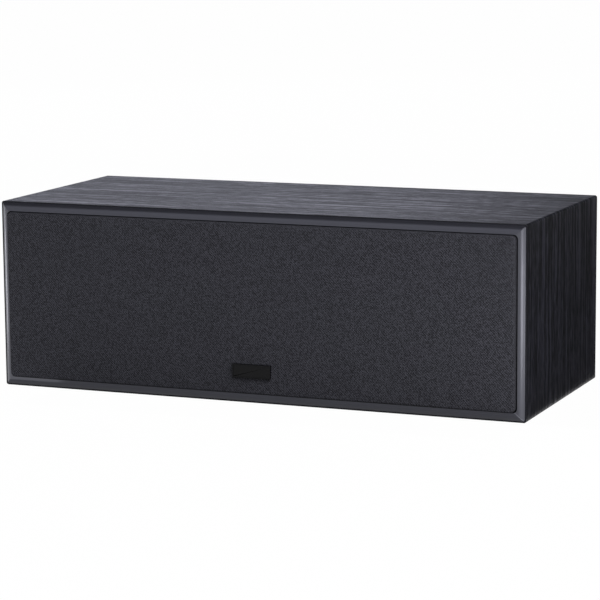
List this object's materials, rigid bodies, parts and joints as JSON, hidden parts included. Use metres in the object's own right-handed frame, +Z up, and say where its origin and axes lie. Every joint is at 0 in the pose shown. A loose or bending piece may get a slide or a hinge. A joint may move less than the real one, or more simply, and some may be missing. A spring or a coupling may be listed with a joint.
{
  "type": "center channel speaker",
  "caption": "Wide, low loudspeaker cabinet with cone woofers either side of a dome tweeter behind a pull-off cloth grille, with a rear reflex port and screw terminals.",
  "frame": {"origin": "on the floor plane under the middle of the folded cabinet wrap", "axes": "+X to the right as the listener sees it, +Y back towards the wall, +Z up; the grille faces -Y"},
  "size_m": [0.426, 0.1885, 0.145],
  "materials": {
    "black_ash_foil": "black ash grain foil on fibreboard",
    "satin_black_foil": "smooth satin black foil on fibreboard",
    "damping_fleece": "loose polyester fleece",
    "grille_fabric": "stretched black twill cloth",
    "black_abs": "fine-grained moulding",
    "black_rubber": "satin rubber",
    "foam_gasket": "closed-cell foam",
    "badge_black": "gloss black plate",
    "black_steel": "powder-coated pressed steel",
    "cone_paper": "coated paper",
    "former_aluminium": "thin foil former",
    "copper_wire": "enamelled copper",
    "spider_cloth": "resin-dipped cloth",
    "zinc_steel": "zinc-plated steel",
    "ferrite": "sintered ferrite",
    "black_screw": "black oxide",
    "dome_silk": "doped silk",
    "gold_brass": "gold-plated brass",
    "red_cap": "clear-topped red moulding",
    "black_cap": "black moulding",
    "circuit_board": "glass-fibre board",
    "nylon": "nylon",
    "capacitor_film": "taped film capacitor",
    "resistor_ceramic": "cement-filled body",
    "tag_board": "phenolic strip",
    "lead_insulation": "twin cable sheath"
  },
  "bodies": {
    "cabinet": {"cabinet_wrap": "black_ash_foil", "crossover_board": "circuit_board", "crossover_capacitors": "capacitor_film", "crossover_coil_large": "copper_wire", "crossover_coil_small": "copper_wire", "crossover_resistor": "resistor_ceramic", "crossover_spacers": "nylon", "damping_mat": "damping_fleece", "driver_tags": "tag_board", "front_baffle": "satin_black_foil", "grille_sockets": "black_rubber", "internal_leads": "lead_insulation", "port_tube": "black_abs", "rear_panel": "satin_black_foil", "terminal_cup": "black_abs", "terminal_gasket": "foam_gasket", "terminal_nuts": "gold_brass", "terminal_posts": "gold_brass", "terminal_screws": "black_screw", "tweeter_faceplate": "black_abs", "tweeter_gasket": "foam_gasket", "tweeter_magnet": "ferrite", "tweeter_screws": "black_screw", "tweeter_top_plate": "zinc_steel", "tweeter_yoke": "zinc_steel", "woofer_left_basket": "black_steel", "woofer_left_gasket": "foam_gasket", "woofer_left_magnet": "ferrite", "woofer_left_spider": "spider_cloth", "woofer_left_surround": "black_rubber", "woofer_left_top_plate": "zinc_steel", "woofer_left_yoke": "zinc_steel", "woofer_right_basket": "black_steel", "woofer_right_gasket": "foam_gasket", "woofer_right_magnet": "ferrite", "woofer_right_spider": "spider_cloth", "woofer_right_surround": "black_rubber", "woofer_right_top_plate": "zinc_steel", "woofer_right_yoke": "zinc_steel", "woofer_screws": "black_screw"},
    "grille": {"grille_frame": "black_abs", "grille_cloth": "grille_fabric", "grille_pegs": "black_abs", "badge_plate": "badge_black"},
    "woofer_left_moving": {"woofer_left_cone": "cone_paper", "woofer_left_dust_cap": "cone_paper", "woofer_left_coil_former": "former_aluminium", "woofer_left_coil_winding": "copper_wire"},
    "woofer_right_moving": {"woofer_right_cone": "cone_paper", "woofer_right_dust_cap": "cone_paper", "woofer_right_coil_former": "former_aluminium", "woofer_right_coil_winding": "copper_wire"},
    "tweeter_moving": {"tweeter_voice_coil": "copper_wire", "tweeter_dome": "dome_silk"},
    "washer_red": {"terminal_washer_red": "gold_brass"},
    "washer_black": {"terminal_washer_black": "gold_brass"},
    "cap_red": {"terminal_cap_red": "red_cap"},
    "cap_black": {"terminal_cap_black": "black_cap"}
  },
  "joints": [
    {"name": "grille_pull", "type": "slide", "parent": "cabinet", "child": "grille", "axis": [0, -1, 0], "range_m": [0, 0.04]},
    {"name": "woofer_left_travel", "type": "slide", "parent": "cabinet", "child": "woofer_left_moving", "axis": [0, -1, 0], "range_m": [-0.003, 0.003], "stiffness_N_per_m": 600, "deforming": ["woofer_left_surround", "woofer_left_spider"]},
    {"name": "woofer_right_travel", "type": "slide", "parent": "cabinet", "child": "woofer_right_moving", "axis": [0, -1, 0], "range_m": [-0.003, 0.003], "stiffness_N_per_m": 600, "deforming": ["woofer_right_surround", "woofer_right_spider"]},
    {"name": "tweeter_travel", "type": "slide", "parent": "cabinet", "child": "tweeter_moving", "axis": [0, -1, 0], "range_m": [-0.0003, 0.0003], "stiffness_N_per_m": 100, "deforming": ["tweeter_dome"]},
    {"name": "washer_red_slide", "type": "slide", "parent": "cabinet", "child": "washer_red", "axis": [0, 1, 0], "range_m": [0, 0.004]},
    {"name": "cap_red_turn", "type": "hinge", "parent": "washer_red", "child": "cap_red", "pos_m": [-0.0095, 0.067, 0.0725], "axis": [0, 1, 0], "range_deg": [0, 1440]},
    {"name": "washer_black_slide", "type": "slide", "parent": "cabinet", "child": "washer_black", "axis": [0, 1, 0], "range_m": [0, 0.004]},
    {"name": "cap_black_turn", "type": "hinge", "parent": "washer_black", "child": "cap_black", "pos_m": [0.0095, 0.067, 0.0725], "axis": [0, 1, 0], "range_deg": [0, 1440]}
  ],
  "couplings": [
    {"joint": "cap_red_turn", "follows": "washer_red_slide", "rad_per_m": 6283.2},
    {"joint": "cap_black_turn", "follows": "washer_black_slide", "rad_per_m": 6283.2}
  ]
}
